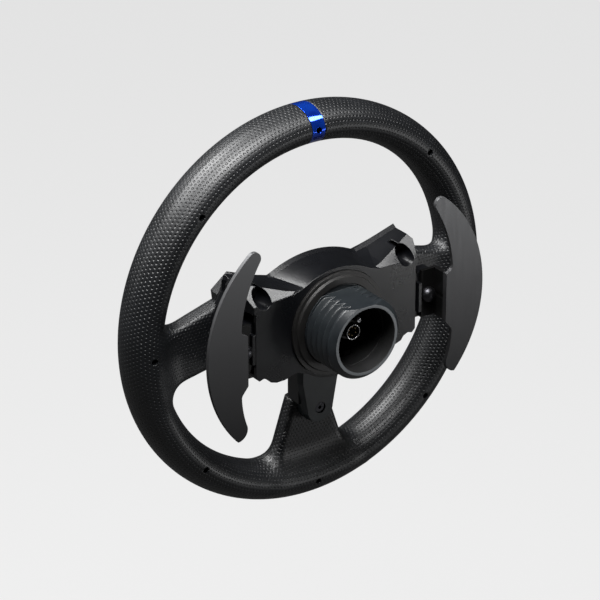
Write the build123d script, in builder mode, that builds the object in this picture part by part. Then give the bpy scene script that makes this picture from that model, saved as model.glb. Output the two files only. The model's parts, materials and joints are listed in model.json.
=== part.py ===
from build123d import *
import os

# Racing wheel, millimetres. The origin lies on the wheel's turning axis in the middle plane of
# the rim. +Y points to the rear (to the wheel base), +Z up, +X to the driver's right.

# ---- rim ----
rim_radius = 127.2           # centre circle of the grip tube
tube_half_width = 12.8       # radial half width of the oval grip
tube_half_depth = 17.7       # half depth of the grip along the axis
shell_wall = 2.6
frame_half_width = 7.0       # flat ring inside the grip
frame_half_depth = 3.0
hub_radius = 30.0            # round plate at the middle of the frame
hub_top = 24.0               # flat on top of that plate
frame_gap = 0.3              # clearance round the frame inside the shells
spoke_rear, spoke_front = 9.0, -4.0
side_bar_low, side_bar_high = -17.0, 9.0
lower_bar_half = 6.0
screw_count = 8
screw_circle = 127.5
screw_access_radius = 2.1
screw_seat = 8.0             # depth at which a rim screw's head rests
band_half = 5.0              # half width of the marker band at twelve o'clock
band_thickness = 1.0
band_gap = 0.12

# ---- housings ----
seam = 12.0                  # plane where the two housings meet
front_face = -14.0
wing_face = 38.0
wall = 2.5
bevel = 1.9
flare = 8.0                  # depth at which the front housing is widest
neck_half = 14.0
neck_end = -66.0
neck_rear = 14.4
boss_radius = 38.5
pod_side = 69.6
pod_screw_x, pod_screw_z = 57.0, 31.0
pod_recess_radius = 6.3
pod_recess_floor = 20.0
post_end = 6.0               # depth where the posts for the pod screws meet the front housing
slot_low, slot_high = -20.5, 22.0
bracket_hole_z = -70.6

# ---- quick-release tube ----
bore_radius = 22.1
relief_radius = 21.7         # the bore is slightly tighter behind the locating mouth
crest_radius = 28.0
root_radius = 25.1
thread_pitch = 5.75
thread_start = 43.9
thread_rings = 5
tube_end = 70.5
mouth_length = 12.5
tube_flat = 24.0
tube_flat_start = 40.5
tube_chamfer_radius = 24.4
tube_neck = 42.0
tube_screw_circle = 25.0

# ---- buttons ----
pod_center_x = 44.5
pod_heights = {1: 11.0, -1: 0.5}  # the driver's right pod stands higher than the left one
pod_root = -3.0              # depth at which the higher pod meets the sloping housing
pod_corner_radius = 16.0
pod_turn = 22.0
pod_front = -22.0
button_gap = 0.3
action_radius, action_offset = 3.5, 6.8
thumb_radius = 3.8
thumb_spots = {"outer": (54.0, -17.8), "inner": (33.5, -18.0)}
menu_x, home_z = 14.0, -21.0
menu_radius, home_radius = 2.8, 3.6

# ---- paddles ----
hinge_x, hinge_y = 52.0, 30.0
pin_radius = 1.5
running_gap = 0.05
paddle_rear = 51.5
sheet = 2.5
flange_rear = 38.2
joggle_x = 79.2
dome_x = 73.6
dome_radius, dome_height = 5.4, 5.4


def rear(y):
    """Plane across the axis at depth y, with +X right and +Z up; it extrudes to the driver."""
    return Plane.XZ.offset(-y)


def tube_ring(half_width, half_depth):
    """Solid oval tube that follows the rim's circle."""
    with BuildPart() as ring:
        with BuildSketch(Plane.XY):
            with Locations((rim_radius, 0)):
                Ellipse(half_width, half_depth)
        revolve(axis=Axis.Y)
    return ring.part


def disc_part(radius, y_rear, y_front, x=0.0, z=0.0, hole=0.0):
    """Round solid along Y between two depths, with an optional round hole."""
    with BuildPart() as disc:
        with BuildSketch(rear(y_rear)):
            with Locations((x, z)):
                Circle(radius)
                if hole:
                    Circle(hole, mode=Mode.SUBTRACT)
        extrude(amount=y_rear - y_front)
    return disc.part


def slab_part(width, height, y_rear, y_front, x=0.0, z=0.0):
    """Rectangular solid between two depths."""
    with BuildPart() as slab:
        with BuildSketch(rear(y_rear)):
            with Locations((x, z)):
                Rectangle(width, height)
        extrude(amount=y_rear - y_front)
    return slab.part


def mirrored(part):
    """The same piece for the driver's left."""
    with BuildPart() as other:
        add(part)
        mirror(about=Plane.YZ, mode=Mode.REPLACE)
    return other.part


# ================= rim =================

side_spoke = [
    (70, 22), (84, 18.5), (96, 14.5), (104, 15), (111, 23), (124, 30),
    (124, -44), (110, -39), (104, -31), (96, -28), (70, -24),
]
lower_spoke = [
    (-15, neck_end - 0.2), (15, neck_end - 0.2), (18, -80), (23, -98), (34, -107), (38, -122),
    (-38, -122), (-34, -107), (-23, -98), (-18, -80),
]


def half_tube(half_width, half_depth, side):
    """Front (side -1) or rear (side +1) half of an oval tube that follows the rim's circle."""
    with BuildPart() as half:
        with BuildSketch(Plane.XY):
            with Locations((rim_radius, 0)):
                Ellipse(half_width, half_depth)
            with Locations((rim_radius, side * half_depth)):
                Rectangle(4 * half_width, 2 * half_depth, mode=Mode.INTERSECT)
        revolve(axis=Axis.Y)
    return half.part


def band_ring(inner_inset, outer_inset, half_length):
    """Short length of tube wall at twelve o'clock."""
    with BuildPart() as ring:
        add(tube_ring(tube_half_width - outer_inset, tube_half_depth - outer_inset))
        add(
            tube_ring(tube_half_width - inner_inset, tube_half_depth - inner_inset),
            mode=Mode.SUBTRACT,
        )
        with Locations((0, 0, rim_radius)):
            Box(2 * half_length, 60, 60, mode=Mode.INTERSECT)
    return ring.part


band_room = band_ring(band_thickness + 0.1, -1, band_half + band_gap)

with BuildPart() as centre_band:
    add(band_ring(band_thickness, 0, band_half))
    with BuildSketch(rear(tube_half_depth + 2)):
        with Locations((0, screw_circle)):
            Circle(screw_access_radius + 0.1)
    extrude(amount=tube_half_depth, mode=Mode.SUBTRACT)


def hollow_half(side):
    """Room inside one half of the grip for the frame."""
    depth = frame_half_depth + frame_gap
    with BuildPart() as room:
        add(half_tube(tube_half_width - shell_wall, tube_half_depth - shell_wall, side))
        with BuildSketch(rear(max(0, side * depth))):
            with Locations((0, (side_bar_low + side_bar_high) / 2)):
                Rectangle(2 * 122, side_bar_high - side_bar_low + 2 * frame_gap)
            with Locations((0, -61)):
                Rectangle(2 * (lower_bar_half + frame_gap), 122)
        extrude(amount=depth)
    return room.part


def rim_shell(side, boss_from, boss_to, screw_hole):
    """Half of the grip with its spokes and a boss for each rim screw."""
    with BuildPart() as shell:
        add(half_tube(tube_half_width, tube_half_depth, side))
        with BuildSketch(rear(max(0, side * spoke_rear))):
            with BuildLine():
                Polyline(*side_spoke, close=True)
            make_face()
            mirror(about=Plane.YZ)
            with BuildLine():
                Polyline(*lower_spoke, close=True)
            make_face()
        extrude(amount=spoke_rear if side > 0 else -spoke_front)
        add(hollow_half(side), mode=Mode.SUBTRACT)
        with BuildSketch(rear(boss_from)):
            with PolarLocations(screw_circle, screw_count):
                Circle(3.6)
        extrude(amount=boss_from - boss_to)
        add(band_room, mode=Mode.SUBTRACT)
        if side > 0:
            with BuildSketch(rear(tube_half_depth + 1)):
                with PolarLocations(screw_circle, screw_count):
                    Circle(screw_access_radius)
            extrude(amount=tube_half_depth + 1 - screw_seat, mode=Mode.SUBTRACT)
        with BuildSketch(rear(screw_seat + 1)):
            with PolarLocations(screw_circle, screw_count):
                Circle(screw_hole)
            with Locations((0, bracket_hole_z)):
                Circle(1.6)
        extrude(amount=screw_seat + 12, mode=Mode.SUBTRACT)
    return shell.part


rim_rear_shell = rim_shell(1, 15.6, frame_half_depth + 0.1, 1.5)
rim_front_shell = rim_shell(-1, -frame_half_depth - 0.1, -15.6, 1.3)

with BuildPart() as rim_frame:
    with BuildSketch(rear(frame_half_depth)):
        Circle(rim_radius + frame_half_width)
        Circle(rim_radius - frame_half_width, mode=Mode.SUBTRACT)
        with Locations((0, (side_bar_low + side_bar_high) / 2)):
            Rectangle(2 * 122, side_bar_high - side_bar_low)
        with Locations((0, -61)):
            Rectangle(2 * lower_bar_half, 122)
        Circle(hub_radius)
        with Locations((0, hub_top + 5)):
            Rectangle(2 * hub_radius, 10, mode=Mode.SUBTRACT)
        Circle(9, mode=Mode.SUBTRACT)
        with PolarLocations(screw_circle, screw_count):
            Circle(1.5, mode=Mode.SUBTRACT)
        with PolarLocations(tube_screw_circle, 4, 45):
            Circle(2.1, mode=Mode.SUBTRACT)
        with Locations((0, bracket_hole_z)):
            Circle(1.6, mode=Mode.SUBTRACT)
    extrude(amount=2 * frame_half_depth)

with BuildPart() as rim_screws:
    with BuildSketch(rear(screw_seat + 1.8)):
        with PolarLocations(screw_circle, screw_count):
            Circle(1.9)
            Circle(0.8, mode=Mode.SUBTRACT)
    extrude(amount=1.8)
    with BuildSketch(rear(screw_seat + 0.4)):
        with PolarLocations(screw_circle, screw_count):
            Circle(1.2)
    extrude(amount=screw_seat + 10)

# ================= housings =================

flare_right = [
    (35, 32.0), (67.5, 41.6), (69.5, 38.5), (70, 31), (76, 22), (80, 12), (80, -24), (74, -33),
    (62, -37), (16, -38),
]
flare_arch = [(-33.0, 32.4), (0, 40.4), (33.0, 32.4)]
front_right = [
    (28, 18.0), (52, 16.5), (57, 15.8), (61, 13.5), (63.5, 10), (65, 5), (65, -14), (60, -24),
    (48, -27), (14, -28),
]
front_arch = [(-21, 18.5), (0, 23.0), (21, 18.5)]


def outline(arch_points, right_points, inset):
    """Outline of the housing: an arch over straight sides, drawn in from its edge by inset."""
    left_points = [(-x, z) for x, z in reversed(right_points)]
    with BuildSketch() as drawn:
        with BuildLine():
            arch = ThreePointArc(*arch_points)
            Polyline(arch @ 1, *right_points, *left_points, arch @ 0)
        make_face()
        if inset:
            offset(amount=-inset, kind=Kind.INTERSECTION, mode=Mode.REPLACE)
    return drawn.sketch


def lofted(rear_y, rear_sketch, front_y, front_sketch):
    """Straight-sided solid between two outlines."""
    with BuildPart() as block:
        with BuildSketch(rear(rear_y)):
            add(rear_sketch)
        with BuildSketch(rear(front_y)):
            add(front_sketch)
        loft(ruled=True)
    return block.part


def button_holes(radius, places):
    """Round wells for buttons through the front wall, as one cutting part."""
    with BuildPart() as wells:
        with BuildSketch(rear(front_face + wall + 1)):
            with Locations(*places):
                Circle(radius + button_gap)
        extrude(amount=wall + 12)
    return wells.part


action_places = [
    (pod_center_x + dx * action_offset, pod_heights[1] + dz * action_offset)
    for dx, dz in ((0, 1), (1, 0), (0, -1), (-1, 0))
]
thumb_places = [(side * x, z) for side in (-1, 1) for x, z in thumb_spots.values()]
menu_places = [(-menu_x, home_z), (menu_x, home_z)]


def hexagon(radius, y_rear, y_front, side):
    """Six-sided block of a button pod; side is +1 for the driver's right."""
    with BuildPart() as block:
        with BuildSketch(rear(y_rear)):
            with Locations((side * pod_center_x, pod_heights[side])):
                RegularPolygon(radius, 6, rotation=side * pod_turn)
        extrude(amount=y_rear - y_front)
    return block.part


def cross(size, arm, y_rear, y_front):
    """Cross-shaped solid of the direction pad on the driver's left pod."""
    with BuildPart() as plus:
        with BuildSketch(rear(y_rear)):
            with Locations((-pod_center_x, pod_heights[-1])):
                Rectangle(size, arm)
                Rectangle(arm, size)
        extrude(amount=y_rear - y_front)
    return plus.part


pod_blocks = [hexagon(pod_corner_radius, front_face + 1, pod_front, -1),
              hexagon(pod_corner_radius, pod_root, pod_front, 1)]
pod_rooms = [hexagon(pod_corner_radius - wall, front_face + wall + 0.1, pod_front + wall, -1),
             hexagon(pod_corner_radius - wall, pod_root - wall, pod_front + wall, 1)]
pod_steps = [hexagon(pod_corner_radius + 1.2, front_face + 1, -17.0, -1),
             hexagon(pod_corner_radius + 1.2, pod_root - 1, -9.5, 1),
             hexagon(pod_corner_radius + 1.2, -11.0, -17.0, 1)]
dpad_size, dpad_arm = 19.0, 6.4
cap_radius, cap_z = 15.0, 2.0

inner_flare = outline(flare_arch, flare_right, wall)
inner_front = outline(front_arch, front_right, wall)

with BuildPart() as front_housing:
    add(lofted(flare, outline(flare_arch, flare_right, 0),
               front_face, outline(front_arch, front_right, 0)))
    with BuildSketch(rear(flare)):
        add(outline(flare_arch, flare_right, 0))
    extrude(amount=flare - seam, taper=25)
    with BuildSketch(Plane.XY.offset(neck_end)):
        with BuildLine():
            Polyline((neck_half, neck_rear), (neck_half, 2), (lower_bar_half + 2, -4.6),
                     (-lower_bar_half - 2, -4.6), (-neck_half, 2), (-neck_half, neck_rear),
                     close=True)
        make_face()
    extrude(amount=-neck_end - 34)
    with Locations((0, seam + wall, neck_end + 32)):
        Box(40, 2 * wall, 9.4, mode=Mode.SUBTRACT)
    add(pod_steps)
    add(pod_blocks)
    chamfer(front_housing.faces().filter_by(Axis.Y).group_by(Axis.Y)[0].edges(), 1.4)
    with BuildSketch(rear(front_face + 1)):
        with Locations((0, cap_z)):
            Circle(cap_radius + 3.5)
    extrude(amount=4)
    add(lofted(flare, inner_flare, front_face + wall, inner_front), mode=Mode.SUBTRACT)
    with BuildSketch(rear(seam + 5)):
        add(inner_flare)
    extrude(amount=seam + 5 - flare, mode=Mode.SUBTRACT)
    add(pod_rooms, mode=Mode.SUBTRACT)
    with BuildSketch(rear(-15.0)):
        with Locations((0, cap_z)):
            Circle(cap_radius + 0.2)
    extrude(amount=4, mode=Mode.SUBTRACT)
    add(button_holes(action_radius, action_places), mode=Mode.SUBTRACT)
    add(button_holes(thumb_radius, thumb_places), mode=Mode.SUBTRACT)
    add(button_holes(menu_radius, menu_places), mode=Mode.SUBTRACT)
    add(button_holes(home_radius, [(0, home_z)]), mode=Mode.SUBTRACT)
    add(cross(dpad_size + 2.0, dpad_arm + 2.0, front_face, pod_front - 1), mode=Mode.SUBTRACT)
    spoke_room = spoke_rear - spoke_front + 2 * frame_gap
    with Locations((0, (spoke_rear + spoke_front) / 2, -2.2)):
        Box(200, spoke_room, 49.6, mode=Mode.SUBTRACT)
    with Locations((0, 0, neck_end)):
        Box(2 * (lower_bar_half + frame_gap), 2 * (frame_half_depth + frame_gap), 76,
            mode=Mode.SUBTRACT)

wing_right = [
    (18, 31), (33, 28.6), (54, 28.5), (57, 27.5), (64, 23), (64, -22.5), (61.5, -25), (58, -24),
    (54.5, -25.5), (52.5, -28.3), (48, -29.8), (41.6, -29.8), (36, -28.5), (31.4, -27.6),
    (18, -33),
]
pod_right = [(30, 20), (30, 30), (38, 31.6), (66.5, 40.4), (pod_side, 36.5), (pod_side, 25), (60, 22)]
facet = [(wing_face, 28.5), (22.5, 42), (22.5, 60), (60, 60), (60, 28.5)]
flank = [(pod_side + 0.2, 25.0), (65.3, wing_face), (65.3, 60), (90, 60), (90, 25.0)]
crown_foot = [(-32.5, 31.4), (0, 39.2), (32.5, 31.4)]
crown_foot_sides = [(46, 33.6), (56, 35.4)]
crown_rim = [(-26, 32.0), (0, 39.0), (26, 32.0)]
crown_rim_sides = [(34.5, 29.0), (56, 28.6)]


def both_sides(points, y_rear, y_front):
    """Prism over an outline and its mirror image."""
    with BuildPart() as pair:
        with BuildSketch(rear(y_rear)):
            with BuildLine():
                Polyline(*points, close=True)
            make_face()
            mirror(about=Plane.YZ)
        extrude(amount=y_rear - y_front)
    return pair.part


def wedge(plane, points, length):
    """Cutting block over an outline, centred on its plane."""
    with BuildPart() as block:
        with BuildSketch(plane):
            with BuildLine():
                Polyline(*points, close=True)
            make_face()
        extrude(amount=length / 2, both=True)
    return block.part


with BuildPart() as pods:
    add(both_sides(pod_right, wing_face, seam))
    add(wedge(Plane.YZ, facet, 180), mode=Mode.SUBTRACT)
    add(wedge(Plane.XY, flank, 120), mode=Mode.SUBTRACT)
    add(mirrored(wedge(Plane.XY, flank, 120)), mode=Mode.SUBTRACT)


def crown_outline(arc_points, side_points):
    """Arch over the boss running out to the pods, closed straight across the axis."""
    with BuildSketch() as drawn:
        with BuildLine():
            arc = ThreePointArc(*arc_points)
            right_end = side_points[-1][0]
            Polyline(arc @ 1, *side_points, (right_end, 0), (-right_end, 0),
                     *[(-x, z) for x, z in reversed(side_points)], arc @ 0)
        make_face()
    return drawn.sketch


crown = lofted(wing_face, crown_outline(crown_rim, crown_rim_sides),
               seam, crown_outline(crown_foot, crown_foot_sides))

wing_inside = [(20, 25), (52, 25), (61.5, 20), (61.5, -22.5), (55, -25), (20, -25)]

with BuildPart() as rear_housing:
    with BuildSketch(rear(seam + wall)):
        add(outline(flare_arch, flare_right, bevel + 0.2))
    extrude(amount=wall)
    add(both_sides(wing_right, wing_face, seam))
    add(pods.part)
    add(crown)
    add(disc_part(boss_radius, wing_face, seam))
    add(both_sides(wing_inside, wing_face - wall, seam - 1), mode=Mode.SUBTRACT)
    add(disc_part(boss_radius - wall, wing_face - 4, seam - 1), mode=Mode.SUBTRACT)
    add(disc_part(36.4, wing_face + 5, wing_face - 1.5), mode=Mode.SUBTRACT)
    add(disc_part(crest_radius + 0.4, wing_face + 1, seam), mode=Mode.SUBTRACT)
    for side in (-1, 1):
        with Locations((side * 65, (wing_face - wall + 20) / 2, (slot_low + slot_high) / 2)):
            Box(12, wing_face - wall - 20, slot_high - slot_low, mode=Mode.SUBTRACT)
    with BuildSketch(rear(wing_face + 5)):
        with Locations((pod_screw_x, pod_screw_z), (-pod_screw_x, pod_screw_z)):
            Circle(pod_recess_radius)
    extrude(amount=wing_face + 5 - pod_recess_floor, mode=Mode.SUBTRACT)
    with BuildSketch(rear(wing_face)):
        with Locations((pod_screw_x, pod_screw_z), (-pod_screw_x, pod_screw_z)):
            Circle(2.1)
    extrude(amount=wing_face - seam + 1, mode=Mode.SUBTRACT)

with BuildPart() as pod_screws:
    with BuildSketch(rear(pod_recess_floor + 2.4)):
        with Locations((pod_screw_x, pod_screw_z), (-pod_screw_x, pod_screw_z)):
            Circle(3.6)
            RegularPolygon(1.6, 6, mode=Mode.SUBTRACT)
    extrude(amount=2.4)
    with BuildSketch(rear(pod_recess_floor + 0.6)):
        with Locations((pod_screw_x, pod_screw_z), (-pod_screw_x, pod_screw_z)):
            Circle(1.9)
    extrude(amount=pod_recess_floor + 0.6 - post_end - 1)

with BuildPart() as screw_posts:
    with BuildSketch(rear(seam - 0.1)):
        with Locations((pod_screw_x, pod_screw_z), (-pod_screw_x, pod_screw_z)):
            Circle(4.4)
            Circle(1.95, mode=Mode.SUBTRACT)
    extrude(amount=seam - 0.1 - post_end)

with BuildPart() as front_cover:
    add(front_housing.part)
    add(screw_posts.part)

with BuildPart() as centre_cap:
    with BuildSketch(rear(-15.1)):
        with Locations((0, cap_z)):
            Circle(cap_radius)
    extrude(amount=3.2)
    fillet(centre_cap.faces().sort_by(Axis.Y)[0].edges(), 1.2)

# ================= lower bracket =================

with BuildPart() as lower_bracket:
    with BuildSketch(rear(19.7)):
        with BuildLine():
            tongue_end = ThreePointArc((-10.2, -71), (0, -80.6), (10.2, -71))
            Polyline(tongue_end @ 1, (14, -50), (14, -40.4), (-14, -40.4), (-14, -50),
                     tongue_end @ 0)
        make_face()
    extrude(amount=19.7 - seam - wall - 0.1, taper=-14)
    with BuildSketch(rear(16)):
        with BuildLine():
            foot_end = ThreePointArc((-10.6, neck_end - 0.6), (0, -81.4), (10.6, neck_end - 0.6))
            Line(foot_end @ 1, foot_end @ 0)
        make_face()
    extrude(amount=16 - spoke_rear - 0.1)
    with BuildSketch(rear(24)):
        with Locations((0, bracket_hole_z)):
            Circle(4)
    extrude(amount=7, mode=Mode.SUBTRACT)
    with BuildSketch(rear(24)):
        with Locations((0, bracket_hole_z)):
            Circle(1.6)
    extrude(amount=20, mode=Mode.SUBTRACT)

with BuildPart() as bracket_screw:
    add(disc_part(3.4, 19.0, 17.1, z=bracket_hole_z, hole=1.2))
    add(disc_part(1.5, 17.5, -8, z=bracket_hole_z))

# ================= quick-release tube and connector =================

with BuildPart() as hub_flange:
    with BuildSketch(Plane.XY):
        with BuildLine():
            Polyline(
                (crest_radius + 0.4, 36.6), (36.2, 36.6), (36.2, 39.8), (33.6, 39.8), (33.0, 41.5),
                (crest_radius + 0.4, 41.5), close=True,
            )
        make_face()
    revolve(axis=Axis.Y)

thread_profile = []
for ring in range(thread_rings - 1):
    crest_y = thread_start + ring * thread_pitch
    thread_profile += [
        (root_radius, crest_y - 1.9), (crest_radius, crest_y - 0.6),
        (crest_radius, crest_y + 0.6), (root_radius, crest_y + 1.9),
    ]
last_crest = thread_start + (thread_rings - 1) * thread_pitch
thread_profile += [
    (root_radius, last_crest - 3.4), (crest_radius, last_crest - 2.2),
    (crest_radius, last_crest), (tube_chamfer_radius, tube_end),
]

with BuildPart() as quick_release_tube:
    with BuildSketch(Plane.XY):
        with BuildLine():
            Polyline(
                (bore_radius, tube_end), (bore_radius, tube_end - mouth_length),
                (relief_radius, tube_end - mouth_length), (relief_radius, frame_half_depth + 0.1),
                (hub_radius, frame_half_depth + 0.1), (hub_radius, frame_half_depth + 4),
                (crest_radius, frame_half_depth + 4), (crest_radius, tube_neck),
                *thread_profile, close=True,
            )
        make_face()
    revolve(axis=Axis.Y)
    with Locations((0, (tube_flat_start + tube_end) / 2 + 1, tube_flat + 5)):
        Box(60, tube_end - tube_flat_start + 2, 10, mode=Mode.SUBTRACT)
    with BuildSketch(rear(frame_half_depth + 5)):
        with PolarLocations(tube_screw_circle, 4, 45):
            Circle(1.6)
    extrude(amount=6, mode=Mode.SUBTRACT)

with BuildPart() as tube_screws:
    with BuildSketch(rear(-frame_half_depth - 0.1)):
        with PolarLocations(tube_screw_circle, 4, 45):
            Circle(3.0)
            RegularPolygon(1.4, 6, mode=Mode.SUBTRACT)
    extrude(amount=2.4)
    with BuildSketch(rear(frame_half_depth + 3.5)):
        with PolarLocations(tube_screw_circle, 4, 45):
            Circle(1.5)
    extrude(amount=2 * frame_half_depth + 4)

connector_base, connector_rear = 30.0, 56.0
din_radius = 5.2
post_x, post_z, post_rear = -5.9, 6.1, 53.0

with BuildPart() as connector_carrier:
    add(disc_part(relief_radius - 0.1, connector_base + 3, connector_base, hole=3.6))
    add(disc_part(din_radius + 1.6, connector_rear - 6, connector_base, hole=3.6))
    for angle in (168, 219, 264, 20):
        with Locations(Plane.XZ.offset(-connector_base) * Pos(0, 0, -8) * Rot(0, 0, angle)):
            with Locations((relief_radius - 2.1, 0, 0)):
                Box(3.4, 5, 16)
    with Locations(((din_radius + relief_radius) / 2, 42, 0)):
        Box(relief_radius - din_radius - 0.4, 20, 1.2)
    add(disc_part(2.0, post_rear, connector_base, post_x, post_z))
    add(disc_part(0.85, post_rear + 1, post_rear - 9, post_x, post_z), mode=Mode.SUBTRACT)

with BuildPart() as connector_shell:
    add(disc_part(din_radius, connector_rear, connector_rear - 5.9, hole=din_radius - 0.5))

with BuildPart() as connector_pins:
    with BuildSketch(rear(connector_rear - 1.5)):
        with PolarLocations(2.9, 6, 30):
            Circle(0.5)
    extrude(amount=4.4)

with BuildPart() as connector_screw:
    add(disc_part(1.3, post_rear + 1.3, post_rear + 0.05, post_x, post_z, hole=0.6))
    add(disc_part(0.8, post_rear + 0.5, post_rear - 8, post_x, post_z))

# ================= paddles =================

blade_arc_top = ((69.6, 67.0), (70.3, 73.0), (76.6, 73.6))
blade_arc_low = ((87.4, -55.4), (82.4, -53.2), (80.2, -46.0))
notch_radius = 4.0
flange_x = 68.7

with BuildPart() as paddle_plate:
    with BuildSketch(rear(paddle_rear)) as paddle_outline:
        with BuildLine():
            top_end = ThreePointArc(*blade_arc_top)
            ThreePointArc(top_end @ 1, (109.5, 8.5), blade_arc_low[0])
            low_end = ThreePointArc(*blade_arc_low)
            low_edge = ThreePointArc(low_end @ 1, (83.2, -35), (84.3, -23.5))
            notches = Polyline(low_edge @ 1, (joggle_x, -17.2), (joggle_x, 18.0), (84.3, 21.0))
            ThreePointArc(notches @ 1, (79.8, 45), top_end @ 0)
        make_face()
        corners = paddle_outline.vertices().filter_by_position(Axis.X, 84.0, 84.6)
        fillet(corners, notch_radius)
    extrude(amount=sheet)
    with BuildSketch(rear(paddle_rear - sheet / 2)):
        with Locations((joggle_x + sheet / 2, 1)):
            Rectangle(sheet, 34)
    extrude(amount=paddle_rear - flange_rear + sheet / 2)
    with BuildSketch(rear(flange_rear)):
        with Locations(((joggle_x + sheet + flange_x) / 2, 1)):
            Rectangle(joggle_x + sheet - flange_x, 34)
    extrude(amount=sheet)
    with BuildSketch(rear(flange_rear + 10)):
        with Locations((dome_x, 0)):
            Circle(dome_radius + 0.5)
    extrude(amount=10 - 0.01, mode=Mode.SUBTRACT)
    with BuildSketch(rear(flange_rear + 1)):
        with Locations((dome_x, 0)):
            Circle(2.1)
    extrude(amount=sheet + 2, mode=Mode.SUBTRACT)

lever_half_height = 16.0
lever_front, lever_rear = 26.5, 34.0
carrier_rear = flange_rear - sheet - 0.1
tab_x, tab_rear = 65.5, 39.7

with BuildPart() as paddle_lever:
    with BuildSketch(Plane.XY.offset(lever_half_height)):
        with Locations((hinge_x, hinge_y)):
            Circle(3.7)
        with BuildLine():
            Polyline(
                (hinge_x, lever_front), (joggle_x - 0.5, lever_front), (joggle_x - 0.5, carrier_rear),
                (tab_x, carrier_rear), (tab_x, lever_rear), (hinge_x, lever_rear), close=True,
            )
        make_face()
        with Locations((hinge_x, hinge_y)):
            Circle(pin_radius + running_gap, mode=Mode.SUBTRACT)
    extrude(amount=-2 * lever_half_height)
    with Locations((tab_x + 1.2, (tab_rear + lever_rear) / 2, -0.5)):
        Box(2.4, tab_rear - lever_rear, 21)
    with Locations((dome_x, carrier_rear, 0)):
        with Locations(Rot(90, 0, 0)):
            Cylinder(1.5, 24, mode=Mode.SUBTRACT)

dome_base = flange_rear + 0.05
with BuildPart() as paddle_screw:
    add(disc_part(dome_radius, dome_base + dome_height, dome_base, dome_x))
    fillet(paddle_screw.faces().sort_by(Axis.Y)[-1].edges(), dome_height - 0.6)
    add(disc_part(1.45, dome_base + 0.5, dome_base - 11, dome_x))

with BuildPart() as hinge_pin:
    with Locations((hinge_x, hinge_y, 0)):
        Cylinder(pin_radius, 2 * lever_half_height + 7)

chassis_rear, chassis_front = 17.0, 14.8
with BuildPart() as paddle_chassis:
    with BuildSketch(rear(chassis_rear)):
        with Locations((52, 0)):
            Rectangle(18, 2 * lever_half_height + 8)
    extrude(amount=chassis_rear - chassis_front)
    for side in (-1, 1):
        with BuildSketch(Plane.XY.offset(side * (lever_half_height + 2.1))):
            with Locations((hinge_x, (hinge_y + chassis_rear) / 2 - 0.5)):
                Rectangle(9, hinge_y - chassis_rear + 1)
            with Locations((hinge_x, hinge_y)):
                Circle(4.5)
        extrude(amount=1.8, both=True)
    with Locations((hinge_x, hinge_y, 0)):
        Cylinder(pin_radius + 0.02, 60, mode=Mode.SUBTRACT)

switch_z = -8.0
with BuildPart() as paddle_switch:
    add(slab_part(6, 12, 24.0, chassis_rear + 0.1, 57.5, switch_z))
    add(slab_part(2, 2.4, 25.4, 24.0 - 0.01, 57.5, switch_z))

spring_turns, spring_radius, spring_wire = 4, 2.6, 0.35
spring_x, spring_z = 58.0, 8.0
spring_length = lever_front - chassis_rear - 2.2
with BuildPart() as paddle_spring:
    with BuildLine() as coil:
        Helix(spring_length / spring_turns, spring_length, spring_radius)
    with BuildSketch(coil.line ^ 0):
        Circle(spring_wire)
    sweep(path=coil.line, is_frenet=True)

# ================= buttons, boards and cable =================


def round_button(radius, top, flange_rear_y, x, z):
    """Pressed cap with a retaining flange and a short stem behind it."""
    with BuildPart() as button:
        add(disc_part(radius, flange_rear_y - 0.5, top, x, z))
        fillet(button.faces().sort_by(Axis.Y)[0].edges(), min(1.0, radius / 4))
        add(disc_part(radius + 0.6, flange_rear_y, flange_rear_y - 1.0, x, z))
        add(disc_part(radius / 2, flange_rear_y + 1.0, flange_rear_y - 0.1, x, z))
    return button.part


face_flange = front_face + wall + 1.1
pod_flange = pod_front + wall + 1.1
action_names = ["top", "right", "bottom", "left"]
buttons = {
    f"action_button_{name}": round_button(action_radius, pod_front - 2.6, pod_flange, x, z)
    for name, (x, z) in zip(action_names, action_places)
}
for side_name, side in (("left", -1), ("right", 1)):
    for spot_name, (x, z) in thumb_spots.items():
        buttons[f"thumb_button_{side_name}_{spot_name}"] = round_button(
            thumb_radius, front_face - 2.4, face_flange, side * x, z
        )
    buttons[f"menu_button_{side_name}"] = round_button(
        menu_radius, front_face - 1.8, face_flange, side * menu_x, home_z
    )
buttons["home_button"] = round_button(home_radius, front_face - 1.6, face_flange, 0, home_z)

dpad_x, dpad_z = -pod_center_x, pod_heights[-1]
dpad_pivot_y = -16.6
with BuildPart() as dpad_cap:
    add(cross(dpad_size, dpad_arm, pod_flange - 0.5, pod_front - 2.4))
    chamfer(dpad_cap.faces().sort_by(Axis.Y)[0].edges(), 0.8)
    add(disc_part(6.0, pod_flange + 0.4, pod_flange - 0.6, dpad_x, dpad_z))
with BuildPart() as dpad_rocker:
    add(disc_part(1.5, dpad_pivot_y + 1.3, pod_flange + 0.6, dpad_x, dpad_z))


def pod_board_part(side, y_rear, thickness, radius):
    """Six-sided layer that fits inside a button pod."""
    return hexagon(radius, y_rear, y_rear - thickness, side)


pod_keymat_rear = -13.9
pod_board_rear = -12.2
board_rear = -5.6
pieces_by_side = {}
for side_name, side in (("left", -1), ("right", 1)):
    pieces_by_side[f"pod_keymat_{side_name}"] = pod_board_part(side, pod_keymat_rear, 1.0, 12.6)
    pieces_by_side[f"pod_board_{side_name}"] = pod_board_part(side, pod_board_rear, 1.6, 12.6)

with BuildPart() as main_board:
    with BuildSketch(rear(board_rear)):
        with Locations((0, -16)):
            Rectangle(112, 15)
        with Locations((0, 2)):
            Rectangle(44, 30)
    extrude(amount=1.6)

with BuildPart() as cable:
    with BuildLine() as cable_path:
        Spline((0, board_rear + 1.5, 0), (0.6, 15, 0.4), (0, connector_rear - 9, 0),
               tangents=((0, 1, 0), (0, 1, 0)))
    with BuildSketch(cable_path.line ^ 0):
        Circle(2.4)
    sweep(path=cable_path.line)

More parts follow.
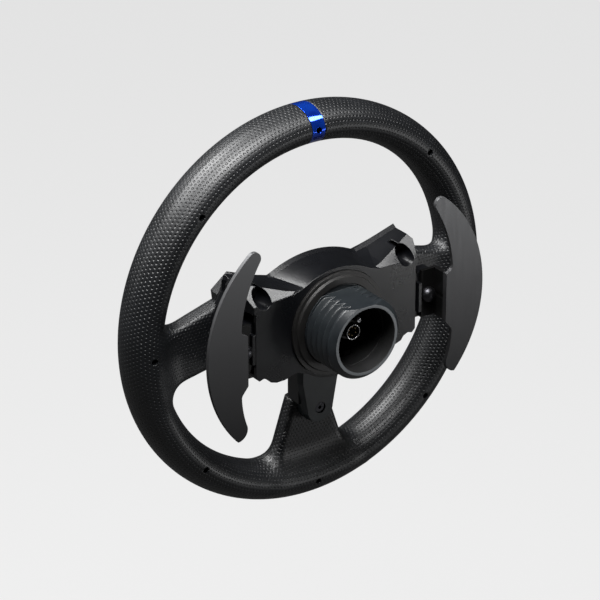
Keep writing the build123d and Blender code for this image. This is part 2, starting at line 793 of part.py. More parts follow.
pieces = {
    "rim_frame": rim_frame.part,
    "rim_rear_shell": rim_rear_shell,
    "rim_front_shell": rim_front_shell,
    "centre_band": centre_band.part,
    "rim_screws": rim_screws.part,
    "front_housing": front_cover.part,
    "rear_housing": rear_housing.part,
    "pod_screws": pod_screws.part,
    "centre_cap": centre_cap.part,
    "lower_bracket": lower_bracket.part,
    "bracket_screw": bracket_screw.part,
    "hub_flange": hub_flange.part,
    "quick_release_tube": quick_release_tube.part,
    "tube_screws": tube_screws.part,
    "connector_carrier": connector_carrier.part,
    "connector_shell": connector_shell.part,
    "connector_pins": connector_pins.part,
    "connector_screw": connector_screw.part,
    "connector_cable": cable.part,
    "main_board": main_board.part,
    "dpad": dpad_cap.part,
    "dpad_rocker": dpad_rocker.part,
    **buttons,
    **pieces_by_side,
}

spring_place = Location((spring_x, chassis_rear + 0.5, spring_z), (-90, 0, 0))
right_side_pieces = {
    "paddle": paddle_plate.part,
    "paddle_lever": paddle_lever.part,
    "paddle_screw": paddle_screw.part,
    "hinge_pin": hinge_pin.part,
    "paddle_chassis": paddle_chassis.part,
    "paddle_switch": paddle_switch.part,
    "paddle_spring": spring_place * paddle_spring.part,
}
for name, piece in right_side_pieces.items():
    pieces[f"{name}_right"] = piece
    pieces[f"{name}_left"] = mirrored(piece)

os.makedirs("parts", exist_ok=True)
for name, piece in pieces.items():
    piece.label = name
    export_step(piece, f"parts/{name}.step")
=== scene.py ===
import json
import math

import bmesh
import bpy
import numpy as np
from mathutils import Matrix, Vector


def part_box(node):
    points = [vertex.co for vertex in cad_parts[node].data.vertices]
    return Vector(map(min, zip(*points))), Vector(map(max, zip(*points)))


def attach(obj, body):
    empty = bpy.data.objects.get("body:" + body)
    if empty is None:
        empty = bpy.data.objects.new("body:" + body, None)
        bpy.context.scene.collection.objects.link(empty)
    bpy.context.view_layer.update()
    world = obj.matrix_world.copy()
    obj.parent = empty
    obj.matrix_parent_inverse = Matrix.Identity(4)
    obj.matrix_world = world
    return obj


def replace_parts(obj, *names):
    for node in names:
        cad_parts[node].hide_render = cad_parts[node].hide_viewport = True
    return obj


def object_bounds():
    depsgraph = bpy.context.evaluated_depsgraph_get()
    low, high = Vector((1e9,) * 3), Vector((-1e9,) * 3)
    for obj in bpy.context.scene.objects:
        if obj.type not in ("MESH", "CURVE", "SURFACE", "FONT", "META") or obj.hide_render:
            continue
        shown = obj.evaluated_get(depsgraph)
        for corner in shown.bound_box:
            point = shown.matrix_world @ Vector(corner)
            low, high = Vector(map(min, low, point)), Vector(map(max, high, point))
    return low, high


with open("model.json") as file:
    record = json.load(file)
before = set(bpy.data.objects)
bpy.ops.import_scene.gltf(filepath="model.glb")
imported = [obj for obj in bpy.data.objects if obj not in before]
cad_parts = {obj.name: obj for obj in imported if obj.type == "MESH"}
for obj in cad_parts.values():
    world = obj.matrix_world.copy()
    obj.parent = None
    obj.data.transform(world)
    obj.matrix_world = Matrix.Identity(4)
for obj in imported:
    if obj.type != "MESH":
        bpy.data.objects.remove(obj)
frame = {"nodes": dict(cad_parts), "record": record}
cad_low, cad_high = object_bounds()

MM = 0.001

# ---- grip, millimetres, worked in the frame's own axes ----
RIM_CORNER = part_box("rim_rear_shell")[1]   # its reach to +X, +Y and +Z
RIM_OUTER = RIM_CORNER[0] / MM
TUBE_HALF_WIDTH = 12.8
TUBE_HALF_DEPTH = RIM_CORNER[1] / MM
RIM_RADIUS = RIM_OUTER - TUBE_HALF_WIDTH
SPOKE_REAR, SPOKE_FRONT = 9.0, -4.0
BLEND = 15.0                # size of the soft blends between spokes and tube
SPOKE_EDGE = 4.0            # rounding of a spoke's long edges
SIDE_SPOKE_INNER = 70.5
SPOKE_OUTER = 116.0         # all three spokes end inside the tube
SIDE_SPOKE_MIDDLE, SIDE_SPOKE_HALF = -2.2, 21.4   # height of its centre line, half its width
SIDE_SPOKE_FALL, SIDE_SPOKE_TAPER = 0.23, 0.05    # per millimetre outwards from the station
SIDE_SPOKE_STATION = 80.0
LOWER_SPOKE_TOP, LOWER_SPOKE_HALF, LOWER_SPOKE_FLARE = -66.3, 14.2, 0.33
SEAM_HALF_GAP = 0.08        # hairline between the two halves of the grip
SPOKE_DIMPLES_FROM, SPOKE_DIMPLES_OVER = 1.2, 1.6   # distance from the tube where the grid changes
GRIP_STEP = 1.2
DIMPLE_COLUMNS = 300
DIMPLE_ROWS = 36
SCREW_CIRCLE, SCREW_COUNT = 127.5, 8
SCREW_HOLE_RADIUS, SCREW_HOLE_FLOOR = 2.1, 9.8
SCREW_HOLE_REACH, SCREW_HOLE_SIDES = 20.0, 24
BAND_HALF_GAP = 5.15
BAND_CUT_SIZE, BAND_CUT_HEIGHT = 60.0, 128.0   # block that cuts the band's gap

# ---- quick-release tube, millimetres ----
BORE, RELIEF, MOUTH = 22.1, 21.7, 12.5
ROOT, CREST, PITCH = 25.1, 28.0, 5.75
THREAD_VALLEY, THREAD_RISE = 0.5, 2.1   # flat at the root and slope beside it
TUBE_END, THREAD_START, LAST_CREST = 70.5, 42.0, 66.9
TUBE_FLAT, FLAT_START, CHAMFER_RADIUS = 24.0, 40.5, 24.4
FOOT_RADIUS, FOOT_FRONT, FOOT_REAR = 30.0, 3.1, 7.0
THREAD_DEPTH_0, THREAD_ANGLE_0 = 41.2, math.radians(73)   # a place where the root lies
PLAIN_FROM, PLAIN_TO, PLAIN_FADE = -158.0, -42.0, 8.0     # smooth zone under the tube, degrees
PLAIN_HEIGHT = 0.94         # of the crest
LAST_CREST_RUN, LAST_CREST_FADE = 2.4, 0.8
BORE_EDGE = 0.3
CRISP_ANGLE = 32.0          # degrees; sharper edges stay crisp


# ================= materials =================


class Graph:
    """A material's node tree with short calls for building it."""

    def __init__(self, name):
        self.material = bpy.data.materials.new(name)
        self.material.use_nodes = True
        self.tree = self.material.node_tree
        self.shader = self.tree.nodes["Principled BSDF"]

    def node(self, kind, settings=None, **inputs):
        made = self.tree.nodes.new(kind)
        for key, value in (settings or {}).items():
            setattr(made, key, value)
        for key, value in inputs.items():
            self.put(made, int(key[1:]) if key[0] == "_" else key.replace("_", " "), value)
        return made

    def put(self, node, key, value):
        socket = node.inputs[key]
        if isinstance(value, bpy.types.NodeSocket):
            self.tree.links.new(value, socket)
        elif isinstance(value, bpy.types.Node):
            self.tree.links.new(value.outputs[0], socket)
        else:
            socket.default_value = value

    def math(self, operation, a, b=0.0, c=0.0):
        return self.node("ShaderNodeMath", {"operation": operation}, _0=a, _1=b, _2=c)

    def remap(self, value, low, high, new_low, new_high, smooth=True):
        kind = "SMOOTHSTEP" if smooth else "LINEAR"
        return self.node(
            "ShaderNodeMapRange", {"interpolation_type": kind}, Value=value, From_Min=low,
            From_Max=high, To_Min=new_low, To_Max=new_high,
        )

    def noise(self, scale, detail=4.0, roughness=0.55, stretch=None):
        place = self.node("ShaderNodeTexCoord").outputs["Object"]
        if stretch:
            place = self.node("ShaderNodeMapping", Vector=place, Scale=stretch)
        return self.node(
            "ShaderNodeTexNoise", Vector=place, Scale=scale, Detail=detail, Roughness=roughness
        )

    def blend_color(self, factor, a, b):
        return self.node(
            "ShaderNodeMix", {"data_type": "RGBA"}, _0=factor, _6=(*a, 1), _7=(*b, 1)
        ).outputs[2]

    def bump(self, height, distance, strength=1.0, normal=None):
        made = self.node("ShaderNodeBump", Height=height, Distance=distance, Strength=strength)
        if normal is not None:
            self.put(made, "Normal", normal)
        return made

    def edge(self, radius):
        return self.node("ShaderNodeBevel", {"samples": 4}, Radius=radius * MM)

    def finish(self, color, roughness, normal=None, **others):
        self.put(self.shader, "Base Color", color if not isinstance(color, tuple) else (*color, 1))
        self.put(self.shader, "Roughness", roughness)
        if normal is not None:
            self.put(self.shader, "Normal", normal)
        for key, value in others.items():
            self.put(self.shader, key.replace("_", " "), value)
        return self.material


def moulded_plastic(
    name, dark, light, rough_low, rough_high, grain=1400.0, depth=0.00004, edge=0.5
):
    """Black moulded plastic with a fine spark-eroded grain, soft edges and handling marks."""
    g = Graph(name)
    marks = g.noise(38.0, 5.0, 0.6)
    color = g.blend_color(g.remap(marks, 0.35, 0.7, 0.0, 1.0), dark, light)
    rough = g.remap(marks, 0.3, 0.75, rough_low, rough_high)
    fine = g.noise(grain, 3.0)
    return g.finish(color, rough, g.bump(fine, depth, 0.6, g.edge(edge)))


def metal(name, color, rough_low, rough_high, stretch, metallic=1.0, depth=0.00002):
    """Metal with fine directional brushing and eased edges."""
    g = Graph(name)
    lines = g.noise(900.0, 3.0, 0.6, stretch)
    patches = g.noise(30.0, 4.0)
    shade = g.blend_color(
        g.remap(patches, 0.3, 0.7, 0.0, 1.0), tuple(c * 0.86 for c in color), color
    )
    rough = g.remap(lines, 0.25, 0.75, rough_low, rough_high)
    return g.finish(shade, rough, g.bump(lines, depth, 0.5, g.edge(0.3)), Metallic=metallic)


def dimple_field(g, map_name):
    """Height of a staggered grid of round dimples laid over a UV map; 0 inside a dimple."""
    place = g.node("ShaderNodeUVMap", {"uv_map": map_name})
    parts = g.node("ShaderNodeSeparateXYZ", Vector=place)
    row = g.math("FLOOR", parts.outputs[1])
    shift = g.math("MULTIPLY", g.math("FLOORED_MODULO", row, 2.0), 0.5)
    across = g.math("SUBTRACT", g.math("FRACT", g.math("ADD", parts.outputs[0], shift)), 0.5)
    along = g.math("SUBTRACT", g.math("FRACT", parts.outputs[1]), 0.5)
    square = g.math("ADD", g.math("MULTIPLY", across, across), g.math("MULTIPLY", along, along))
    return g.remap(g.math("SQRT", square), 0.14, 0.34, 0.0, 1.0)


def grip_rubber():
    """Black soft-touch rubber, covered in small staggered dimples, with painted shade inside each
    dimple.
    """
    g = Graph("grip_rubber_dimpled")
    tube = dimple_field(g, "tube")
    spoke = dimple_field(g, "spoke")
    weight = g.node("ShaderNodeAttribute", {"attribute_name": "spoke_weight"}).outputs["Fac"]
    height = g.node("ShaderNodeMix", _0=weight, _2=tube.outputs[0], _3=spoke.outputs[0])
    wear = g.noise(24.0, 5.0, 0.6)
    base = g.blend_color(g.remap(wear, 0.3, 0.72, 0.0, 1.0), (0.0016, 0.0020, 0.0027),
                         (0.0034, 0.0040, 0.0052))
    # Painted shade: the colour falls to 0.35 of the base inside each dimple.
    color = g.node("ShaderNodeMix", {"data_type": "RGBA", "blend_type": "MULTIPLY"}, _0=1.0,
                   _6=base, _7=g.remap(height, 0.0, 1.0, 0.35, 1.0)).outputs[2]
    grain = g.bump(g.noise(1500.0, 2.0), 0.00003, 0.5)
    normal = g.bump(height, 0.0003, 1.0, grain)
    rough = g.remap(wear, 0.3, 0.75, 0.42, 0.48)
    return g.finish(color, rough, normal, Specular_IOR_Level=0.55)


def glossy_blue():
    """Blue anodised metal band."""
    g = Graph("band_blue_anodised")
    lines = g.noise(500.0, 3.0, 0.6, (1.0, 1.0, 0.1))
    cloud = g.noise(60.0, 3.0)
    color = g.blend_color(g.remap(cloud, 0.35, 0.65, 0.0, 1.0), (0.004, 0.03, 0.42),
                          (0.01, 0.09, 0.75))
    rough = g.remap(lines, 0.3, 0.7, 0.07, 0.13)
    return g.finish(color, rough, g.bump(lines, 0.000004, 0.3, g.edge(0.4)), Metallic=0.85,
                    Coat_Weight=0.6, Coat_Roughness=0.08)


def tube_bore_painted_shade():
    """Matte near-black of the tube's bore: painted shade for the inside of the tube."""
    return moulded_plastic(
        "tube_bore_painted_shade", (0.0010, 0.0010, 0.0012), (0.0016, 0.0016, 0.0018), 0.6, 0.7
    )


def tube_end_painted_light():
    """The tube's end ring in a lighter grey: painted light for the light falling on its rear-facing
    face.
    """
    return moulded_plastic(
        "tube_end_painted_light", (0.085, 0.092, 0.098), (0.110, 0.118, 0.124), 0.34, 0.44, 700.0, 0.00005
    )


def paddle_with_painted_light():
    """Dark brushed sheet with painted light, paler towards its top, near black on the folded flange.
    """
    g = Graph("paddle_dark_anodised_painted_light")
    lines = g.noise(900.0, 3.0, 0.6, (1.0, 1.0, 0.05))
    place = g.node("ShaderNodeTexCoord").outputs["Generated"]
    parts = g.node("ShaderNodeSeparateXYZ", Vector=place)
    # Painted light: the sheet's colour ramps from near black at the bottom to pale grey at the top,
    # standing in for the light falling on the blades.
    height = g.node("ShaderNodeValToRGB", Fac=parts.outputs[2])
    ramp = height.color_ramp
    ramp.elements[0].color = (0.015, 0.015, 0.016, 1)
    ramp.elements[1].color = (0.090, 0.091, 0.094, 1)
    middle = ramp.elements.new(0.5)
    middle.color = (0.046, 0.046, 0.048, 1)
    sheet = g.remap(parts.outputs[1], 0.72, 0.80, 0.0, 1.0)
    color = g.node("ShaderNodeMix", {"data_type": "RGBA"}, _0=sheet, _6=(0.006, 0.006, 0.006, 1),
                   _7=height.outputs[0]).outputs[2]
    rough = g.remap(lines, 0.25, 0.75, 0.40, 0.48)
    return g.finish(color, rough, g.bump(lines, 0.000008, 0.5, g.edge(0.3)), Metallic=0.6)


def board_mask():
    """Green solder mask with faint copper tracks beneath."""
    g = Graph("board_solder_mask")
    tracks = g.node("ShaderNodeTexVoronoi", {"feature": "DISTANCE_TO_EDGE"}, Scale=420.0,
                    Vector=g.node("ShaderNodeTexCoord").outputs["Object"])
    color = g.blend_color(g.remap(tracks, 0.02, 0.05, 1.0, 0.0), (0.008, 0.06, 0.025),
                          (0.03, 0.16, 0.06))
    return g.finish(color, g.remap(g.noise(200.0), 0.3, 0.7, 0.25, 0.4), g.bump(tracks, 0.00002))


MATERIALS = {
    "grip_rubber": grip_rubber(),
    "frame_metal": metal("frame_cast_aluminium", (0.55, 0.56, 0.58), 0.35, 0.55, (1, 1, 1)),
    "blue_band": glossy_blue(),
    "black_steel": metal("screw_black_oxide", (0.05, 0.05, 0.055), 0.3, 0.45, (1, 1, 1)),
    "bright_steel": metal("steel_bright", (0.62, 0.62, 0.64), 0.2, 0.34, (1, 1, 0.2)),
    "housing_plastic": moulded_plastic(
        "housing_black_satin", (0.0027, 0.0029, 0.0036), (0.0035, 0.0038, 0.0047), 0.27, 0.30
    ),
    "bracket_plastic": moulded_plastic(
        "bracket_grey_black", (0.012, 0.0165, 0.0185), (0.017, 0.022, 0.025), 0.34, 0.42
    ),
    "gloss_trim": moulded_plastic(
        "trim_gloss_black", (0.006, 0.006, 0.007), (0.010, 0.010, 0.011), 0.08, 0.16, 400.0, 0.00001
    ),
    "flange_plastic": moulded_plastic(
        "flange_black", (0.006, 0.0057, 0.0055), (0.009, 0.0085, 0.008), 0.42, 0.52
    ),
    "tube_plastic": moulded_plastic(
        "tube_glass_filled", (0.009, 0.011, 0.013), (0.014, 0.017, 0.019), 0.30, 0.40, 700.0, 0.00006
    ),
    "inner_plastic": moulded_plastic(
        "inner_matte_black", (0.004, 0.004, 0.005), (0.008, 0.008, 0.009), 0.5, 0.65
    ),
    "connector_metal": metal("connector_nickel", (0.72, 0.72, 0.73), 0.12, 0.25, (1, 1, 1)),
    # The pins' colour is darkened far below gold as painted shade deep inside the connector.
    "pin_brass": metal("pin_gold_flash_painted_shade", (0.16, 0.12, 0.07), 0.25, 0.4, (1, 1, 1)),
    "cable_rubber": moulded_plastic(
        "cable_sheath", (0.010, 0.010, 0.011), (0.016, 0.016, 0.017), 0.5, 0.62
    ),
    "board_green": board_mask(),
    "keymat_rubber": moulded_plastic(
        "keymat_silicone", (0.20, 0.20, 0.21), (0.27, 0.27, 0.28), 0.5, 0.65
    ),
    "button_plastic": moulded_plastic(
        "button_satin_black", (0.010, 0.010, 0.012), (0.016, 0.016, 0.018), 0.22, 0.34
    ),
    "switch_plastic": moulded_plastic(
        "switch_black", (0.02, 0.02, 0.02), (0.04, 0.04, 0.04), 0.4, 0.5
    ),
    "paddle_metal": paddle_with_painted_light(),
}

# ================= mesh helpers =================


def make_piece(name, vertices, faces, body, slot):
    """Mesh object from millimetre vertices, riding on a CAD body, in that slot's material."""
    mesh = bpy.data.meshes.new(name)
    mesh.from_pydata((np.asarray(vertices, float) * MM).tolist(), [], [list(f) for f in faces])
    mesh.validate()
    mesh.shade_smooth()
    piece = bpy.data.objects.new(name, mesh)
    bpy.context.scene.collection.objects.link(piece)
    piece.data.materials.append(MATERIALS[slot])
    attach(piece, body)
    return piece


def surface_net(field, low, high, step):
    """Quads around the zero level of a field: one vertex in each grid cell that it crosses."""
    axes = [np.arange(a, b + step, step) for a, b in zip(low, high)]
    grid = np.meshgrid(*axes, indexing="ij")
    values = field(*grid)
    inside = values < 0
    cells = tuple(n - 1 for n in values.shape)
    total = np.zeros((*cells, 3))
    count = np.zeros(cells)
    offsets = [(i, j, k) for i in (0, 1) for j in (0, 1) for k in (0, 1)]
    for a in offsets:
        for axis in range(3):
            if a[axis]:
                continue
            b = tuple(v + (n == axis) for n, v in enumerate(a))
            cut_a = tuple(slice(v, v + c) for v, c in zip(a, cells))
            cut_b = tuple(slice(v, v + c) for v, c in zip(b, cells))
            crossed = inside[cut_a] != inside[cut_b]
            share = values[cut_a] / np.where(crossed, values[cut_a] - values[cut_b], 1.0)
            for n in range(3):
                here = a[n] + (share if n == axis else 0.0)
                total[..., n] += np.where(crossed, here, 0.0)
            count += crossed
    used = count > 0
    index = np.full(cells, -1)
    index[used] = np.arange(used.sum())
    corner = np.stack(np.nonzero(used), 1)
    vertices = np.array(low) + step * (corner + total[used] / count[used][:, None])
    quads = []
    for axis in range(3):
        one, two = [n for n in range(3) if n != axis]
        lead = [slice(None)] * 3
        trail = [slice(None)] * 3
        lead[axis], trail[axis] = slice(0, -1), slice(1, None)
        first, second = inside[tuple(lead)], inside[tuple(trail)]
        edge = np.stack(np.nonzero(first != second), 1)
        for n in (one, two):
            edge = edge[(edge[:, n] > 0) & (edge[:, n] < cells[n])]
        ring = []
        for d_one, d_two in ((0, 0), (-1, 0), (-1, -1), (0, -1)):
            cell = edge.copy()
            cell[:, one] += d_one
            cell[:, two] += d_two
            ring.append(index[cell[:, 0], cell[:, 1], cell[:, 2]])
        quad = np.stack(ring, 1)
        flip = first[edge[:, 0], edge[:, 1], edge[:, 2]] ^ (axis == 1)
        quad[flip] = quad[flip][:, ::-1]
        quads.append(quad[:, ::-1])
    return vertices, np.concatenate(quads)


def settle(field, vertices, rounds=4):
    """Moves vertices onto the zero level of a field."""
    nudge = 0.05
    for _ in range(rounds):
        value = field(*vertices.T)
        slope = np.stack([
            (field(*(vertices + nudge * unit).T) - value) / nudge for unit in np.eye(3)
        ], 1)
        vertices = vertices - slope * (value / np.maximum((slope ** 2).sum(1), 0.05))[:, None]
    return vertices


def soft_union(a, b, size):
    """Union of two distance fields with a round blend."""
    overlap = np.maximum(size - np.abs(a - b), 0.0) / size
    return np.minimum(a, b) - overlap ** 2 * size / 4


def rounded_bar(across, depth, half_across, half_depth, radius):
    """Distance to a long bar with a rounded rectangular section."""
    one = np.abs(across) - (half_across - radius)
    two = np.abs(depth) - (half_depth - radius)
    outside = np.hypot(np.maximum(one, 0), np.maximum(two, 0))
    return outside + np.minimum(np.maximum(one, two), 0) - radius


# ================= grip =================


def tube_field(x, y, z):
    """Distance to the oval tube that follows the rim's circle."""
    out = np.hypot(x, z) - RIM_RADIUS
    scaled = np.hypot(out / TUBE_HALF_WIDTH, y / TUBE_HALF_DEPTH)
    slope = np.hypot(out / TUBE_HALF_WIDTH ** 2, y / TUBE_HALF_DEPTH ** 2)
    return scaled * (scaled - 1) / np.maximum(slope, 1e-6)


def grip_field(x, y, z):
    """The tube with its two side spokes and its lower spoke, softly blended."""
    out = np.abs(x)
    beyond = out - SIDE_SPOKE_STATION
    middle = SIDE_SPOKE_MIDDLE - SIDE_SPOKE_FALL * beyond
    half = SIDE_SPOKE_HALF - SIDE_SPOKE_TAPER * beyond
    depth = y - (SPOKE_REAR + SPOKE_FRONT) / 2
    half_depth = (SPOKE_REAR - SPOKE_FRONT) / 2
    side = rounded_bar(z - middle, depth, half, half_depth, SPOKE_EDGE)
    side = np.maximum(side, np.maximum(SIDE_SPOKE_INNER - out, out - SPOKE_OUTER))
    below = np.maximum(LOWER_SPOKE_TOP - z, 0)
    half_lower = LOWER_SPOKE_HALF + LOWER_SPOKE_FLARE * below
    lower = rounded_bar(x, depth, half_lower, half_depth, SPOKE_EDGE)
    lower = np.maximum(lower, np.maximum(z - LOWER_SPOKE_TOP, -SPOKE_OUTER - z))
    tube = tube_field(x, y, z)
    return soft_union(soft_union(tube, side, BLEND), lower, BLEND)


def oval_arc_table(samples=2000):
    """Angle round the oval section against the share of its length."""
    angle = np.linspace(-math.pi, math.pi, samples)
    across, depth = TUBE_HALF_WIDTH * np.cos(angle), TUBE_HALF_DEPTH * np.sin(angle)
    length = np.concatenate([[0], np.cumsum(np.hypot(np.diff(across), np.diff(depth)))])
    return angle, length / length[-1]


def add_grip_maps(mesh):
    """UV maps that carry the dimple grid over the tube and over the spokes."""
    points = np.empty(len(mesh.vertices) * 3)
    mesh.vertices.foreach_get("co", points)
    points = points.reshape(-1, 3) / MM
    corner_vertex = np.empty(len(mesh.loops), int)
    mesh.loops.foreach_get("vertex_index", corner_vertex)
    starts = np.empty(len(mesh.polygons), int)
    mesh.polygons.foreach_get("loop_start", starts)
    totals = np.empty(len(mesh.polygons), int)
    mesh.polygons.foreach_get("loop_total", totals)
    face_of = np.repeat(np.arange(len(starts)), totals)
    normals = np.empty(len(mesh.polygons) * 3)
    mesh.polygons.foreach_get("normal", normals)
    normals = normals.reshape(-1, 3)[face_of]
    x, y, z = points[corner_vertex].T
    round_rim = np.arctan2(z, x) / (2 * math.pi) * DIMPLE_COLUMNS
    angle, share = oval_arc_table()
    section = np.arctan2(y / TUBE_HALF_DEPTH, (np.hypot(x, z) - RIM_RADIUS) / TUBE_HALF_WIDTH)
    round_tube = np.interp(section, angle, share) * DIMPLE_ROWS
    for value, period in ((round_rim, DIMPLE_COLUMNS), (round_tube, DIMPLE_ROWS)):
        anchor = value[starts][face_of]
        value += period * np.round((anchor - value) / period)
    column = 2 * math.pi * RIM_RADIUS / DIMPLE_COLUMNS
    row = column * math.sqrt(3) / 2
    facing = np.abs(normals)
    flat = facing[:, 1] > 0.55
    upright = ~flat & (facing[:, 2] >= facing[:, 0])
    first = np.where(flat | upright, x, z)
    second = np.where(flat, z, y)
    for name, pair in (
        ("tube", (round_rim, round_tube)), ("spoke", (first / column, second / row + 0.5))
    ):
        layer = mesh.uv_layers.new(name=name)
        layer.data.foreach_set("uv", np.stack(pair, 1).astype(np.float32).ravel())
    away = tube_field(*points.T)
    weight = np.clip((away - SPOKE_DIMPLES_FROM) / SPOKE_DIMPLES_OVER, 0, 1).astype(np.float32)
    attribute = mesh.attributes.new("spoke_weight", "FLOAT", "POINT")
    attribute.data.foreach_set("value", weight)


def slice_mesh(piece, point, normal):
    """Keeps the part of a closed mesh behind a plane and closes the cut."""
    work = bmesh.new()
    work.from_mesh(piece.data)
    result = bmesh.ops.bisect_plane(
        work, geom=work.verts[:] + work.edges[:] + work.faces[:], plane_co=Vector(point) * MM,
        plane_no=normal, clear_outer=True,
    )
    edges = [e for e in result["geom_cut"] if isinstance(e, bmesh.types.BMEdge)]
    bmesh.ops.triangle_fill(work, edges=edges, use_beauty=True, normal=normal)
    work.to_mesh(piece.data)
    work.free()


def cut_away(piece, cutter):
    """Subtracts one closed mesh from another and discards the cutter."""
    change = piece.modifiers.new("cut", "BOOLEAN")
    change.operation, change.object, change.solver = "DIFFERENCE", cutter, "EXACT"
    result = piece.evaluated_get(bpy.context.evaluated_depsgraph_get())
    mesh = bpy.data.meshes.new_from_object(result)
    piece.modifiers.clear()
    piece.data = mesh
    bpy.data.objects.remove(cutter)


def grip_cutter(side):
    """Access holes for the rim screws, on the rear half, and the gap for the marker band."""
    work = bmesh.new()
    bmesh.ops.create_cube(work, size=1.0)
    for vertex in work.verts:
        x, y, z = vertex.co
        vertex.co = Vector((
            x * 2 * BAND_HALF_GAP, y * BAND_CUT_SIZE, z * BAND_CUT_SIZE + BAND_CUT_HEIGHT
        ))
    if side > 0:
        for n in range(SCREW_COUNT):
            turn = 2 * math.pi * n / SCREW_COUNT
            if n == SCREW_COUNT // 4:
                continue
            made = bmesh.ops.create_cone(
                work, cap_ends=True, segments=SCREW_HOLE_SIDES, radius1=SCREW_HOLE_RADIUS,
                radius2=SCREW_HOLE_RADIUS, depth=SCREW_HOLE_REACH,
            )
            for vertex in made["verts"]:
                x, y, z = vertex.co
                vertex.co = Vector((
                    x + SCREW_CIRCLE * math.cos(turn),
                    z + SCREW_HOLE_FLOOR + SCREW_HOLE_REACH / 2,
                    -y + SCREW_CIRCLE * math.sin(turn),
                ))
    for vertex in work.verts:
        vertex.co *= MM
    mesh = bpy.data.meshes.new("cutter")
    work.to_mesh(mesh)
    work.free()
    cutter = bpy.data.objects.new("cutter", mesh)
    bpy.context.scene.collection.objects.link(cutter)
    return cutter


def build_grip():
    """Front and rear halves of the grip, parted by a hairline seam, with the band's gap."""
    edge = RIM_OUTER + 2 * GRIP_STEP
    depth = TUBE_HALF_DEPTH + 2 * GRIP_STEP
    vertices, quads = surface_net(
        grip_field, (-edge, -depth, -edge), (edge, depth, edge), GRIP_STEP
    )
    vertices = settle(grip_field, vertices)
    halves = {}
    for name, side in (("grip_rear", 1), ("grip_front", -1)):
        piece = make_piece(name, vertices, quads, "wheel", "grip_rubber")
        slice_mesh(piece, (0, side * SEAM_HALF_GAP, 0), (0, -side, 0))
        cut_away(piece, grip_cutter(side))
        halves[name] = piece
    return halves


grip = build_grip()
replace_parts(grip["grip_rear"], "rim_rear_shell")
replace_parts(grip["grip_front"], "rim_front_shell")
for half in grip.values():
    add_grip_maps(half.data)

# ================= quick-release tube =================


def sharpen(mesh):
    """Keeps the sharp edges of a smooth-shaded mesh crisp."""
    work = bmesh.new()
    work.from_mesh(mesh)
    for edge in work.edges:
        if len(edge.link_faces) == 2 and edge.calc_face_angle() > math.radians(CRISP_ANGLE):
            edge.smooth = False
    work.to_mesh(mesh)
    work.free()


def thread_radius(depth, angle):
    """Radius of the thread at a depth and an angle measured from +X towards +Z."""
    turn = (depth - THREAD_DEPTH_0) / PITCH - (angle - THREAD_ANGLE_0) / (2 * math.pi)
    across = np.abs((turn + 0.5) % 1.0 - 0.5) * PITCH
    height = np.clip((across - THREAD_VALLEY) / THREAD_RISE, 0, 1)
    low = np.degrees(angle)
    plain = np.clip((low - PLAIN_FROM) / PLAIN_FADE, 0, 1)
    plain = plain * np.clip((PLAIN_TO - low) / PLAIN_FADE, 0, 1)
    height = np.maximum(height, plain * PLAIN_HEIGHT)
    radius = ROOT + (CREST - ROOT) * height
    last = np.clip((depth - LAST_CREST + LAST_CREST_RUN) / LAST_CREST_FADE, 0, 1)
    radius = radius + (CREST - radius) * last
    chamfer = CREST - (CREST - CHAMFER_RADIUS) * (depth - LAST_CREST) / (TUBE_END - LAST_CREST)
    return np.minimum(radius, chamfer)


def build_tube():
    """Threaded tube with its flat, its chamfered mouth and its stepped bore."""
    spokes = 400
    step = 0.2
    angle = np.linspace(-math.pi, math.pi, spokes, endpoint=False)
    depths = np.arange(THREAD_START, TUBE_END, step)
    rows = [(FOOT_RADIUS, FOOT_FRONT), (FOOT_RADIUS, FOOT_REAR), (CREST, FOOT_REAR),
            (CREST, FLAT_START - 0.1), (CREST, FLAT_START), (CREST, THREAD_START - 0.1)]
    rows += [(None, depth) for depth in depths]
    rows += [(CHAMFER_RADIUS, TUBE_END), (BORE + BORE_EDGE, TUBE_END),
             (BORE, TUBE_END - BORE_EDGE), (BORE, TUBE_END - MOUTH),
             (RELIEF, TUBE_END - MOUTH), (RELIEF, FOOT_FRONT)]
    vertices = []
    for radius, depth in rows:
        reach_out = thread_radius(depth, angle) if radius is None else np.full(spokes, radius)
        up = reach_out * np.sin(angle)
        if FLAT_START <= depth:
            up = np.minimum(up, TUBE_FLAT)
        vertices += list(zip(reach_out * np.cos(angle), np.full(spokes, depth), up))
    faces = []
    for row in range(len(rows)):
        this, after = row * spokes, (row + 1) % len(rows) * spokes
        for n in range(spokes):
            m = (n + 1) % spokes
            faces.append((this + n, after + n, after + m, this + m))
    tube = make_piece("release_tube", vertices, faces, "wheel", "tube_plastic")
    # The bore's near-black colour is painted shade inside the tube.
    tube.data.materials.append(tube_bore_painted_shade())
    # The end ring's lighter grey is painted light on its rear-facing face.
    tube.data.materials.append(tube_end_painted_light())
    end_ring = rows.index((CHAMFER_RADIUS, TUBE_END))
    for polygon in tube.data.polygons:
        row = polygon.index // spokes
        polygon.material_index = 2 if row == end_ring else int(row > end_ring)
    sharpen(tube.data)
    return tube


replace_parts(build_tube(), "quick_release_tube")

# ================= carried-over CAD nodes =================

REBUILT = ("rim_rear_shell", "rim_front_shell", "quick_release_tube")
SLOTS = {row["node"]: row["material_slot"] for row in frame["record"]["subparts"]}
for node, piece in frame["nodes"].items():
    if node not in REBUILT:
        piece.data.materials.clear()
        piece.data.materials.append(MATERIALS[SLOTS[node]])

# ================= floor, light and camera =================

FLOOR_DROP, FLOOR_REACH = 0.35, 12.0
FLOOR_GLOW = 0.755          # brightness of the floor as the camera sees it


def plain(name, color, roughness):
    """Matte studio floor that glows for the camera only."""
    g = Graph(name)
    speck = g.noise(60.0, 3.0)
    shade = g.blend_color(speck.outputs[0], tuple(c * 0.99 for c in color), color)
    seen = g.node("ShaderNodeLightPath").outputs["Is Camera Ray"]
    glow = g.math("MULTIPLY", seen, FLOOR_GLOW)
    return g.finish(shade, roughness, g.bump(speck, 0.0001), Emission_Color=(0.98, 0.98, 0.98, 1),
                    Emission_Strength=glow)


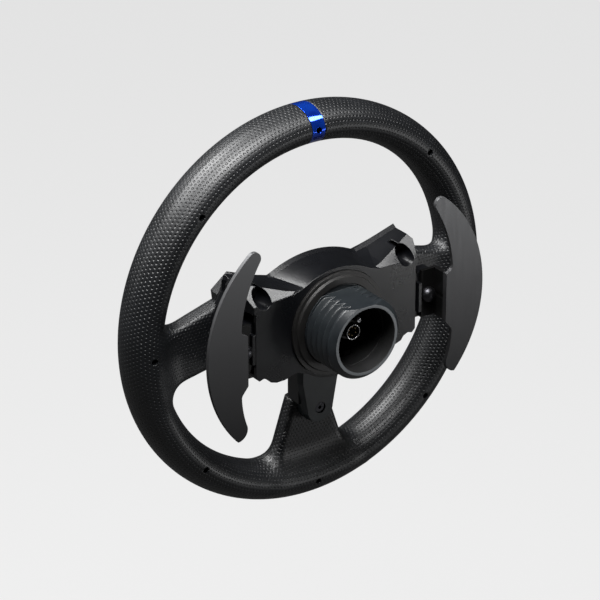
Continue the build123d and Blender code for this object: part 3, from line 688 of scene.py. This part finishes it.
floor_mesh = bpy.data.meshes.new("floor")
floor_z = cad_low[2] - FLOOR_DROP
floor_corners = [(FLOOR_REACH * x, FLOOR_REACH * y, floor_z)
                 for x, y in ((-1, -1), (1, -1), (1, 1), (-1, 1))]
floor_mesh.from_pydata(floor_corners, [], [(0, 1, 2, 3)])
floor = bpy.data.objects.new("floor", floor_mesh)
floor.data.materials.append(plain("floor_pale", (0.05, 0.05, 0.05), 0.95))
bpy.context.scene.collection.objects.link(floor)


def soft_light(name, place, size, power, aim):
    """Rectangular studio light pointing at the wheel."""
    data = bpy.data.lights.new(name, "AREA")
    data.shape = "RECTANGLE"
    data.size, data.size_y = size
    data.energy = power
    lamp = bpy.data.objects.new(name, data)
    lamp.location = place
    lamp.rotation_mode = "QUATERNION"
    lamp.rotation_quaternion = (Vector(aim) - Vector(place)).to_track_quat("-Z", "Y")
    bpy.context.scene.collection.objects.link(lamp)


CAMERA_AZIMUTH, CAMERA_ELEVATION = math.radians(144.51), math.radians(25.86)
CAMERA_DISTANCE, CAMERA_LENS, SENSOR = 1.9486, 177.56, 36.0
CAMERA_SHIFT = (-0.00523, 0.00237)
back = Vector((
    math.sin(CAMERA_AZIMUTH) * math.cos(CAMERA_ELEVATION),
    -math.cos(CAMERA_AZIMUTH) * math.cos(CAMERA_ELEVATION),
    math.sin(CAMERA_ELEVATION),
))
camera_data = bpy.data.cameras.new("camera")
camera_data.lens = CAMERA_LENS
camera_data.sensor_width = SENSOR
camera_data.shift_x, camera_data.shift_y = CAMERA_SHIFT
camera_data.clip_end = 100.0
camera = bpy.data.objects.new("camera", camera_data)
camera.location = back * CAMERA_DISTANCE
camera.rotation_mode = "QUATERNION"
camera.rotation_quaternion = (-back).to_track_quat("-Z", "Y")
bpy.context.scene.collection.objects.link(camera)
bpy.context.scene.camera = camera

HUB, BAND, RIGHT_PADDLE = (0.0, 0.02, 0.0), (0.0, 0.0, 0.127), (-0.07, 0.02, 0.05)
soft_light("key_top", (0.27, 0.42, 1.20), (0.7, 0.6), 38.0, HUB)
soft_light("top_front", (0.42, -0.50, 1.00), (0.6, 0.5), 26.0, HUB)
soft_light("left_front", (1.05, -0.95, 0.30), (0.4, 0.6), 1.4, HUB)
soft_light("band_glint", (-0.60, 0.40, 1.05), (0.3, 0.3), 5.0, BAND)
soft_light("rear_low", (-0.85, 0.85, -0.28), (0.4, 0.3), 2.6, RIGHT_PADDLE)


WORLD_FILL, WORLD_IN_GLOSS = 0.014, 0.010


def studio_world():
    """Pale, faint surroundings, fainter still in glossy surfaces."""
    world = bpy.data.worlds.new("studio")
    world.use_nodes = True
    tree = world.node_tree
    path = tree.nodes.new("ShaderNodeLightPath")
    strength = tree.nodes.new("ShaderNodeMapRange")
    tree.links.new(path.outputs["Is Glossy Ray"], strength.inputs["Value"])
    strength.inputs["To Min"].default_value = WORLD_FILL
    strength.inputs["To Max"].default_value = WORLD_IN_GLOSS
    background = tree.nodes["Background"]
    background.inputs["Color"].default_value = (0.97, 0.98, 1.0, 1)
    tree.links.new(strength.outputs[0], background.inputs["Strength"])
    bpy.context.scene.world = world


studio_world()
bpy.context.scene.view_settings.view_transform = "Standard"
